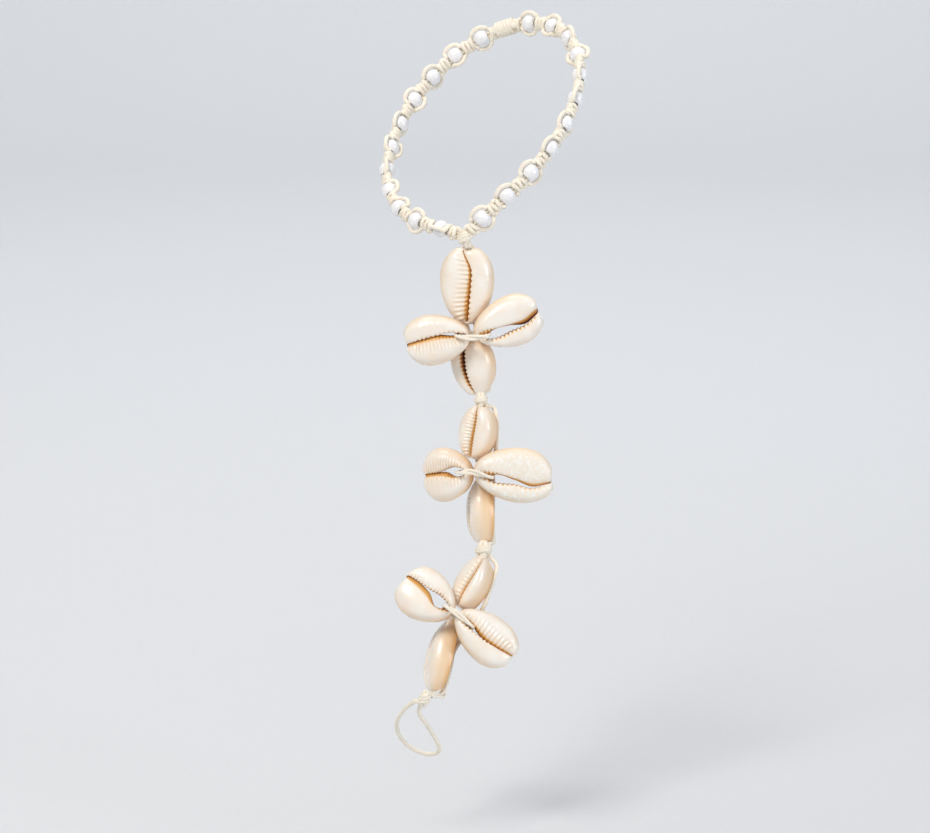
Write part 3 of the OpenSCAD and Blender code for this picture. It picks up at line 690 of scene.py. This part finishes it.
SHELL_TABLE = {
    (1, "top"): (-1.9, 16, -3.8, 90, 27, 18, -6, 0, 0.15, 0.25,
        (1.3, 1.5, 1, 0.7, 0.3), (0, -0.1, -0.85, -1.1, 1.2), SHUT, (0.55, 0.35, 0.2, 0.15, 0.25),
        (0.1, 3.7, 0.95, 16), (0.3, 0.6, 0.8, 13), 1.2, 0, 1),
    (1, "left"): (-11.9, -1.4, 2.1, 187.6, 22.6, 16.8, 0, 4, 0.2, 0.25,
        (1.8, 1.6, 1.2, 1.2, 1.9), (-0.4, -1.3, -1, -0.3, 0.7), (0.3, 0.2, 1, 1, 1),
        (0.6, 0.6, 0.15, 0.05, 0.05), (0.12, 3.3, 0.9, 17), (0.28, 0.8, 0.9, 13), 1.4, -1, 1),
    (1, "right"): (11.9, 4.4, 2, 19.5, 24.2, 17, 0, 4, 0.2, 0.25,
        (2.6, 3.2, 2.1, 1.8, 2.3), (-0.8, -1.7, -1.6, -1.2, 0.8), (0.9, 0, 0, 0.9, 1),
        (0.75, 0.6, 1.3, 1.7, 1.1), (0.26, 0.6, 0.33, 17), (0.32, 1.2, 1, 15), 2.8, -0.3, 1),
    (1, "bottom"): (0.1, -11.6, -3.5, 281, 19.6, 15, 28, 0, -0.15, 0.25,
        (1.4, 1.5, 1, 0.6, 0.3), (-1, -1.7, -1.9, -1.3, -0.2), (0.6, 0.6, 0.6, 0.7, 0.7),
        (1.8, 1.8, 1.6, 1.3, 0.9), (0.3, 0.3, 0.95, 13), (0.12, 0.3, 0.95, 13), 0.8, 0, -1),
    (2, "top"): (1.6, 12.7, -3.3, 81.4, 18.8, 12.8, -28, 0, 0.02, 0.25,
        (1, 1, 0.8, 0.6, 0.3), (0.2, 0, -0.2, -0.3, 0.3), SHUT, (0.3, 0.3, 0.3, 0.3, 0.3),
        (0.1, 2.6, 0.95, 15), (0.25, 0.5, 0.95, 16), 0.9, 0, 1),
    (2, "left"): (-8.5, -1.4, -1.2, 183.3, 17.7, 18, 0, 26, 0.2, 0.25,
        (3, 3.6, 1.5, 1, 1.3), (-0.8, -1, -0.6, -0.2, 0.2), (0, 0, 0.7, 1, 1),
        (0.6, 0.5, 0.2, 0.1, 0.1), (0.15, 3.2, 0.95, 15), (0.24, 5.2, 0.95, 17), 1.9, 0, 1),
    (2, "right"): (14.3, -1.2, 2, 353, 27.6, 18.2, 0, 4, 0.13, 0.25,
        (1.6, 3, 1.9, 1.7, 0.9), (-0.9, -1.7, -2, -2.7, -1), (0.9, 0, 0.15, 0.6, 0.9),
        (0.75, 0.5, 0.2, 0.1, 0.1), (0.26, 0.8, 0.33, 18), (0.3, 1.5, 0.95, 16), 1.6, -1.4, 1),
    (2, "bottom"): (2.5, -14.4, -6.4, 271, 22.6, 14.6, 78, 0, 0.1, 0.42, *EDGE_ON),
    (3, "top"): (4.7, 11.9, -3.4, 63.7, 19.6, 11.6, -34, 0, -0.05, 0.25,
        (0.8, 0.8, 0.6, 0.5, 0.4), (-0.3, -0.9, -1.5, -2, -1.8), SHUT, (0.2, 0.2, 0.2, 0.2, 0.2),
        (0.06, 1.8, 0.95, 13), (0.04, 0.4, 0.9, 12), 0.9, 0, 1),
    (3, "left"): (-10.1, 6.5, 2, 147.7, 20.8, 17.6, 0, 4, 0.2, 0.25,
        (2.4, 4.2, 2.4, 1.8, 1.7), (0.1, -0.2, -0.8, -1.5, -1.8), (0.4, 0, 0.7, 1, 1),
        (0.6, 0.6, 0.25, 0.15, 0.1), (0.25, 0.5, 0.2, 16), (0.3, 1.5, 1, 16), 2, 0.8, 1),
    (3, "right"): (9.5, -7.1, 2, 319.7, 24.4, 16, 0, 4, 0.2, 0.25,
        (2.1, 1.8, 0.9, 0.7, 0.9), (-0.3, -0.6, -0.8, -0.2, 0.8), (0, 0.2, 1, 1, 1),
        (0.9, 0.9, 0.3, 0.1, 0.1), (0.12, 4, 0.95, 15), (0.3, 0.6, 0.7, 15), 1.2, 0.4, 1),
    (3, "bottom"): (-6.2, -12.9, -7, 256.4, 24.6, 14.6, 78, 0, 0.1, 0.42, *EDGE_ON),
}
SHELLS = {key: dict(zip(COLUMNS, row)) for key, row in SHELL_TABLE.items()}
WORN_SHELL = (2, "right")


def flower_place(f):
    """A flower's plane: moved to its middle and turned up by its pitch from the upright."""
    middle, up = FLOWERS[f]
    return move(middle) @ turn("x", 90 - up)


def shell_place(f, where):
    """A shell's frame: x to its outer end, z out of its face and z = 0 at the sawn rim."""
    row = SHELLS[f, where]
    return (flower_place(f) @ move([row["x"], row["y"], row["lift"]])
            @ turn("z", row["angle"]) @ turn("y", row["pitch"]) @ turn("x", row["roll"])
            @ move([0, 0, -SHELL_H / 2]))


print("shells:", [row["long"] for row in SHELLS.values()], "mm long")

# %% [markdown]
# The wall's section is drawn once, as shares of the way from slit to margin and of the height. The
# cords' cubic gives its smooth turns, and only the sawn rim keeps sharp corners. The last column
# says how much a point follows the slope of the lip's inner wall, which closes the slit.

# %% Section of the wall
WALL = np.array([
    # share of the way, share of the height, depth inside, share of the slope
    [0.30, 0.44, 1, 0.9], [0.12, 0.42, 1, 1], [0.03, 0.52, 0.95, 1], [0, 0.64, 0.85, 1],
    [0, 0.73, 0.7, 0.95], [0, 0.80, 0.5, 0.7], [0.01, 0.865, 0.28, 0.3], [0.04, 0.92, 0, 0],
    [0.11, 0.965, 0, 0], [0.22, 0.99, 0, 0], [0.36, 1, 0, 0], [0.52, 0.99, 0, 0],
    [0.68, 0.94, 0, 0], [0.81, 0.85, 0, 0], [0.91, 0.72, 0, 0], [0.975, 0.56, 0, 0],
    [1, 0.4, 0, 0], [0.99, 0.24, 0, 0], [0.965, 0.1, 0, 0], [0.945, 0.015, 0, 0],
    [0.935, 0, 0, 0], [0.84, 0, 0.02, 0], [0.76, 0, 0.04, 0], [0.75, 0.015, 0.08, 0],
    [0.72, 0.24, 0.5, 0], [0.62, 0.5, 0.9, 0], [0.46, 0.52, 1, 0.4],
])
wall = smooth(WALL, cuts=2, closed=True)
WALL_SHARE, WALL_HEIGHT, WALL_INSIDE, WALL_SLOPE = wall.T
print("section:", len(wall), "points")

# %% Lip and margin
STEPS = 400
TIP_ROUND, BITE_ROUND, RIDGE_POWER = 0.35, 0.3, 1.3
TEETH_END, TEETH_START = 0.1, 0.06
NOTCH_SPAN, DENT_SPAN, MARGIN_DENT = 16, 13, 0.9
LOBE_FROM_TIP, LOBE_SPAN = 150, 22
# How far the tip is drawn out, over what angle: most are blunt, those seen edge-on pointed
BLUNT_TIP, POINTED_TIP, EDGE_ON_ROLL = (-0.4, 14), (2.2, 22), 60


def along_slit(values, q):
    """Five values from tip to outer end, read off smoothly at the shares q."""
    curve = smooth(np.array(values)[:, None], cuts=12)[:, 0]
    return np.interp(q, np.linspace(0, 1, len(curve)), curve)


def bell(t, centre, span):
    """exp(-(angle / span)^2), counted the short way round from the centre."""
    away = (t - centre + 180) % 360 - 180
    return np.exp(-(away / span) ** 2)


def lip_line(row, c, s):
    """Half the slit's width * |s|^TIP_ROUND to each side of its middle, with teeth that are
    (0.5 + 0.5 cos(2 pi n q))^RIDGE_POWER high, where q is the share of the slit's length."""
    q = (1 + c) / 2
    tooth, rib, until, count = (np.where(s > 0, a, b) for a, b in zip(row["left"], row["right"]))
    ridge = (0.5 + 0.5 * np.cos(2 * np.pi * count * q)) ** RIDGE_POWER
    near = np.clip((until - q) / TEETH_END, 0, 1) * np.clip(q / TEETH_START, 0, 1)
    half = along_slit(row["widths"], q) / 2 * np.abs(s) ** TIP_ROUND
    bite = tooth * near * np.abs(s) ** BITE_ROUND
    y = along_slit(row["shifts"], q) + np.sign(s) * (half - bite * (ridge - 0.5))
    return np.stack([SLIT_SHARE * row["long"] / 2 * c, y], 1), half, bite, ridge, near, rib


def margin_line(row, t, c, s):
    """An ellipse wider by egg * c, dented at the notch, with one lobe beside the notch longer than
    the other, and with a blunt or a pointed tip."""
    tip, tip_span = POINTED_TIP if row["roll"] > EDGE_ON_ROLL else BLUNT_TIP
    lobes = row["lobe"] / 2 * np.sign(s) * bell(np.abs(t - 180), LOBE_FROM_TIP, LOBE_SPAN)
    x = (row["long"] / 2 * c - MARGIN_DENT * row["notch"] * bell(t, 0, DENT_SPAN)
         - tip * bell(t, 180, tip_span) + lobes)
    return np.stack([x, row["wide"] / 2 * s * (1 + row["egg"] * c)], 1)


# %% [markdown]
# Between the two lines the section gives the wall. Its ribs start beside the lip and fade towards
# the margin. The three values for the colour come from the same shares: the slit's painted shade
# depends on how deep a point lies inside, the painted peach shade on how low it is outside, and the
# gaps between the teeth get painted shade as well.

# %% Shell surface
UNDERCUT, OVERLAP, RECESS, OPEN_LEAN, LEAN_GROWTH = 1.5, 0.2, 0.35, 0.25, 4
RIB_H, RIB_START, RIB_POWER = 0.4, 0.45, 0.8
RIB_FULL, RIB_WEAK, RIB_STRONG = 2.5, 0.3, 1.4
LONG_RIB, START_LEAST = 1.8, 0.25
TIP_NOTCH, TAPER_POWER = 0.6, 3
FACE_LOW, FACE_BLEND = 0.62, 0.2
# Painted shade in the gaps between the teeth: its strength, the bite it grows with, its reach and where
# it fades in
GAP_SHADE, GAP_SHADE_BITE, GAP_SHADE_REACH, GAP_SHADE_LOW, GAP_SHADE_BLEND = 0.45, 0.3, 0.35, 0.5, 0.3
DARK_LEAST, SIDE_SHARE = 0.35, 0.66
# Peach painted as shade: down the sides below PEACH_TOP, near the lip, and in the gaps between the ribs
PEACH_TOP, PEACH_BLEND, LIP_PEACH, LIP_REACH, GAP_PEACH = 0.92, 0.45, 0.2, 1.2, 0.35
GOLD_TOP, GOLD_POWER = 0.3, 1.2


def shell_surface(f, where):
    """At angle t round the slit, a(t) is a point of the lip and b(t) one of the margin. A point of the
    wall is a + (b - a) * share, at height h * H. Where the slit is closed, one lip's inner wall
    leans over by the slit's width and the other one stands back. Both ends are lower by
    taper * |c|^3, where c is the cosine of t."""
    row = SHELLS[f, where]
    t = np.arange(STEPS) * 360 / STEPS
    c, s = np.cos(np.radians(t)), np.sin(np.radians(t))
    lip, half, bite, ridge, near, rib = lip_line(row, c, s)
    margin = margin_line(row, t, c, s)
    flat = lip[:, None] + (margin - lip)[:, None] * WALL_SHARE[:, None]
    low = np.clip(1 - 2 * WALL_HEIGHT, 0, 1)
    flat[..., 0] -= UNDERCUT * (np.clip(c, 0, 1) ** 3)[:, None] * WALL_SHARE * low
    closed, dark = (along_slit(row[key], (1 + c) / 2) for key in ("closed", "dark"))
    lean = np.where(s * row["leaning"] > 0, closed * (2 * half + OVERLAP) + OPEN_LEAN * (1 - closed),
                    -RECESS * closed)
    flat[..., 1] -= (np.sign(s) * lean * np.clip(LEAN_GROWTH * np.abs(s), 0, 1))[:, None] * WALL_SLOPE

    away = np.linalg.norm(margin - lip, axis=1)[:, None] * WALL_SHARE
    on_face = np.clip((WALL_HEIGHT - FACE_LOW) / FACE_BLEND, 0, 1)
    rib, gap = rib[:, None], (1 - ridge)[:, None]
    fade = np.clip(1 - (away - RIB_START) / rib, 0, 1) ** RIB_POWER
    start = np.where(rib > LONG_RIB, np.clip(away / RIB_START, START_LEAST, 1), 1)
    strong = near[:, None] * fade * np.clip(rib / RIB_FULL, RIB_WEAK, RIB_STRONG)
    relief = RIB_H * (ridge - 0.5)[:, None] * strong * start
    sink = row["notch"] * bell(t, 0, NOTCH_SPAN) + TIP_NOTCH * bell(t, 180, NOTCH_SPAN)
    ends = 1 - row["taper"] * np.abs(c) ** TAPER_POWER
    z = (SHELL_H * WALL_HEIGHT + (relief - sink[:, None]) * on_face) * ends[:, None]

    # Painted shade in the gaps between the teeth, strongest at the lip
    gap_shade = (gap * (bite / GAP_SHADE_BITE)[:, None] * np.exp(-away / GAP_SHADE_REACH)
             * np.clip((WALL_HEIGHT - GAP_SHADE_LOW) / GAP_SHADE_BLEND, 0, 1))
    # How dark the slit's painted shade is at each place along the slit
    shade = DARK_LEAST + (1 - DARK_LEAST) * dark[:, None]
    side = np.clip((PEACH_TOP - WALL_HEIGHT) / PEACH_BLEND, 0, 1) * (WALL_SHARE > SIDE_SHARE)
    values = {
        # The slit's painted shade, deeper inside and in the gaps between the teeth
        "inside": np.clip(WALL_INSIDE + GAP_SHADE * gap_shade, 0, 1) * shade,
        # Painted peach shade: down the sides, along the lip and between the ribs
        "warm": side * (WALL_INSIDE < 0.02)
                + (LIP_PEACH * np.exp(-away / LIP_REACH) + GAP_PEACH * gap * strong) * on_face,
        "rim": (np.clip(1 - WALL_HEIGHT / GOLD_TOP, 0, 1) ** GOLD_POWER * (WALL_INSIDE < 0.1)
                + 0 * t[:, None])}
    across = run_length(wall[:, :2] * [row["wide"] / 2, SHELL_H])
    return surface(place(shell_place(f, where), np.dstack([flat, z])), across,
                   np.radians(t) * row["long"] / 2, rows_close=True, values=values)


for f, where in SHELLS:
    piece = new_piece(f"flower_{f}_{where}_cowrie", [shell_surface(f, where)],
                      sea_worn if (f, where) == WORN_SHELL else glazed, "cowrie_shell",
                      f"flower_{f}_{where}_shell")
print("shells:", len(SHELLS), "with", len(piece.data.polygons), "faces each")

# %% [markdown]
# **Side cords.** Two cords run down each flower, from knot to knot, mostly behind the shells. Their
# routes are the solid model's, but each end goes on into its knot. A cord's points are given in the
# frames of what it passes, so it stays behind a shell that is moved.

# %% Side cords
# Points in the frames of upper knot, top shell, flower's plane, bottom shell and lower knot
SIDE_ROUTES = {
    (1, "left"): ([(0.1, 0.3, -1), (0.3, 0.8, -3)],
        [(13, 0.6, -1), (9, 3, -1), (-1, 4, -1), (-9.4, 2.2, -1.2)], [(-1.3, 0, -8)],
        [(-5.8, -2.2, -1.6), (2, -3.2, -1.6), (9.2, -1.6, -3.2)], [(-0.8, 1.6, 2.2), (-0.6, 0.6, 0.4)]),
    (1, "right"): ([(1, 0.3, -1), (1.5, 0.8, -3)],
        [(13, -0.9, -1), (9, -3, -1), (-1, -4, -1), (-9.4, -2.2, -1.2)], [(1.3, 0, -8)],
        [(-5.8, 2.2, -1), (2, 3.4, -1), (8.4, 1.8, -1.2)], [(1.1, 1.4, 2.2), (0.9, 0.6, 0.4)]),
    (2, "left"): ([(-0.9, 0.3, -0.8), (-0.5, 0.6, -2.4)],
        [(9, 1.4, -1), (1, 3, -1), (-6.2, 2.2, -1.1)], [(3, 0.5, -9.4)],
        [(-9, -2.6, -1.6), (-1, -2.4, -1.5), (7, -2.2, -1.5), (10.4, -1.8, -1.5)],
        [(0, 1.4, 1.8), (0, 0.6, 0.4)]),
    (2, "right"): ([(1.3, 0.1, -0.6), (2.1, 0, -2)],
        [(9, -2.4, -0.9), (6.4, -4, -1.05), (0, -5.4, -1.05), (-5.2, -5.8, -1.05)], [(7.2, 0, -8.9)],
        [(-9, 0.8, -1.2), (-1, 0.8, -1), (7, 0.8, -0.9), (10.2, 0.8, -0.2)],
        [(2, 0.4, 2.2), (1.2, 0.2, 0.6)]),
    (3, "left"): ([(-0.9, 0.3, -0.8), (-0.5, 0.6, -2.4)],
        [(9.4, 1.6, -1.2), (1, 3, -1.1), (-6, 2, -1.1)], [(1.5, 0, -9.4)],
        [(-7, -2.6, -1.6), (1, -2.2, -1.3), (8.4, -2.4, -1.3), (12.1, -3.1, -1.6)],
        [(0.2, 1.6, 1.6), (0.2, 0.6, 0.4)]),
    (3, "right"): ([(1.6, 0.1, -0.6), (2.3, 0, -1.8)],
        [(9, -3, -0.9), (6.4, -4, -1.05), (0, -5.2, -1.05), (-5.6, -5.8, -1.05)], [(5, -2.4, -8.9)],
        [(-4, 0.6, -1.2), (3, 0.6, -1.1), (9, 0.6, -1), (12, 0.8, 0.2)],
        [(2.6, 0.2, 1.2), (1.2, 0, 0.6)]),
}


def side_cord(f, way):
    """The smooth path through a route's points, from knot to knot."""
    frames = (CHAIN_KNOTS[f - 1], shell_place(f, "top"), flower_place(f), shell_place(f, "bottom"),
              CHAIN_KNOTS[f])
    return smooth(np.vstack([place(m, points) for m, points in zip(frames, SIDE_ROUTES[f, way])]),
                  cuts=10)


for f, way in SIDE_ROUTES:
    strand = cord(evenly(side_cord(f, way), RING_STEP), flower_place(f)[:3, 0])
    new_piece(f"flower_{f}_{way}_strand", [strand], cotton, "waxed_cord", f"flower_{f}_{way}_cord")
print("side cords:", len(SIDE_ROUTES))

# %% [markdown]
# **Lacing.** One cord goes twice through the slits of the left and right shells and over the
# flower's middle. So it is one closed path of two rounds, pulled thinner than elsewhere, and its two
# passes lie side by side in front, where they turn a little about each other.

# %% Lacing
LACE_R, LACE_FRONT, LACE_BACK, LACE_HALF, LACE_APART = 0.55, 6.6, -4, 0.55, 0.46
# Steps of the dive: along the shell, height from the sawn rim
LACE_STEPS = ((-0.4, SHELL_H + 0.5), (0.3, SHELL_H / 2), (-0.4, -1.2))
# Half the length of the crossing in front, and how far one pass rises over the other
CROSS_HALF, CROSS_RISE = 1.5, 0.3
# How far from the tips of the left and right shells the cord goes down
LACE_IN = {1: (3.9, 4), 2: (2.7, 5.6), 3: (2.6, 6.2)}


def lace_dive(f, where, way):
    """Three points down through a shell's slit, LACE_IN from its tip and in the slit's middle."""
    half_long = SHELLS[f, where]["long"] / 2
    step, height = np.transpose(LACE_STEPS)
    x = LACE_IN[f][where == "right"] + way * LACE_HALF + step - half_long
    y = along_slit(SHELLS[f, where]["shifts"], (1 + x / (SLIT_SHARE * half_long)) / 2)
    return place(shell_place(f, where), np.stack([x, y, height], 1))


def lacing(f):
    """Two rounds: out of the left slit, over the middle, down the right slit and back behind. The
    passes cross the middle along the line from one slit to the other."""
    flower = flower_place(f)
    tops = [np.linalg.inv(flower) @ [*lace_dive(f, where, 0)[0], 1] for where in ("left", "right")]
    over = unit((tops[1] - tops[0])[:2])
    beside = np.array([-over[1], over[0]]) * LACE_APART
    points = []
    for way in (1, -1):
        points.extend(lace_dive(f, "left", -way)[::-1])
        for end in (-1, 1):
            crossing = end * CROSS_HALF * over + way * beside
            points.append(place(flower, [*crossing, LACE_FRONT + end * way * CROSS_RISE]))
        points.extend(lace_dive(f, "right", -way))
        points.append(place(flower, [*(-way * beside), LACE_BACK]))
    return smooth(points, cuts=10, closed=True)


for f in FLOWERS:
    path = evenly(lacing(f), RING_STEP, closed=True)
    lace = cord(path, flower_place(f)[:3, 1], LACE_R, closed=True)
    new_piece(f"flower_{f}_laced_cord", [lace], cotton, "waxed_cord", f"flower_{f}_lacing")
print("lacings:", len(FLOWERS))

# %% [markdown]
# **Stage.** The anklet hangs in its worn form above a plain pale floor that rises into a wall in
# one soft bend, so there is no edge behind it. Two large soft lights, one more for the wall and a
# pale sky give studio light. The main one is above on the left, where the shells shine.

# %% Floor, lights and sky
FLOOR_Z, WALL_Y, BEND_R, STAGE_HALF = -235, 1500, 600, 4000
BEND_POINTS, GRAIN_MM = 17, 2.5


def pale_paper():
    """Unglazed grey-white paper, dull from a grain that is too fine to see."""
    material, tree = new_material("pale background paper")
    spot = add_node(tree, "TexCoord", "Object")
    grain = add_node(tree, "TexNoise", "Fac", {"Vector": spot, "Scale": 1 / (GRAIN_MM * MM)})
    colour = add_node(tree, "Mix", "Result",
                      {"Factor": grain, "A": linear("#DCDEE1"), "B": linear("#D8DADD")},
                      data_type="RGBA")
    bump = add_node(tree, "Bump", "Normal", {"Height": grain, "Strength": 0.05})
    finish_material(tree, colour, bump, {"Roughness": 0.9})
    return material


bend = np.radians(np.linspace(-90, 0, BEND_POINTS))
curve = [WALL_Y + BEND_R * np.cos(bend), FLOOR_Z + BEND_R * (1 + np.sin(bend))]
profile = np.vstack([[-STAGE_HALF, FLOOR_Z], np.stack(curve, 1), [WALL_Y + BEND_R, 2 * STAGE_HALF]])
width = np.linspace(STAGE_HALF, -STAGE_HALF, 5)
paper = np.dstack([*np.meshgrid(width, profile[:, 0], indexing="ij"),
                   profile[:, 1] + 0 * width[:, None]])
sheet = surface(paper, profile[:, 0], width, columns_close=False)
new_object("floor", [sheet], pale_paper())


def soft_light(name, place_mm, aim_mm, size_mm, watts, colour):
    """A square area light that looks at a point."""
    data = bpy.data.lights.new(name, "AREA")
    data.size, data.energy, data.color = size_mm * MM, watts, linear(colour)[:3]
    light = bpy.data.objects.new(name, data)
    z = unit(np.subtract(place_mm, aim_mm))
    x = unit(np.cross([0, 0, 1], z))
    light.matrix_world = Matrix(axes(np.multiply(place_mm, MM), x, np.cross(z, x), z).tolist())
    bpy.context.scene.collection.objects.link(light)


CHAIN_MIDDLE = (0, -40, -90)
soft_light("main_light", (-500, -700, 800), CHAIN_MIDDLE, 450, 8.8, "#FFF9F2")
soft_light("fill_light", (2130, -1380, 520), CHAIN_MIDDLE, 1100, 23, "#F3F7FF")
soft_light("wall_light", (0, 600, 1500), (0, 2100, 0), 1200, 21, "#FFFFFF")
world = bpy.data.worlds.new("sky")
bpy.context.scene.world = world
world.use_nodes = True
sky = world.node_tree.nodes["Background"].inputs
sky["Color"].default_value = linear("#F5F7FA")
sky["Strength"].default_value = 0.34
bpy.context.scene.view_settings.view_transform = "Standard"
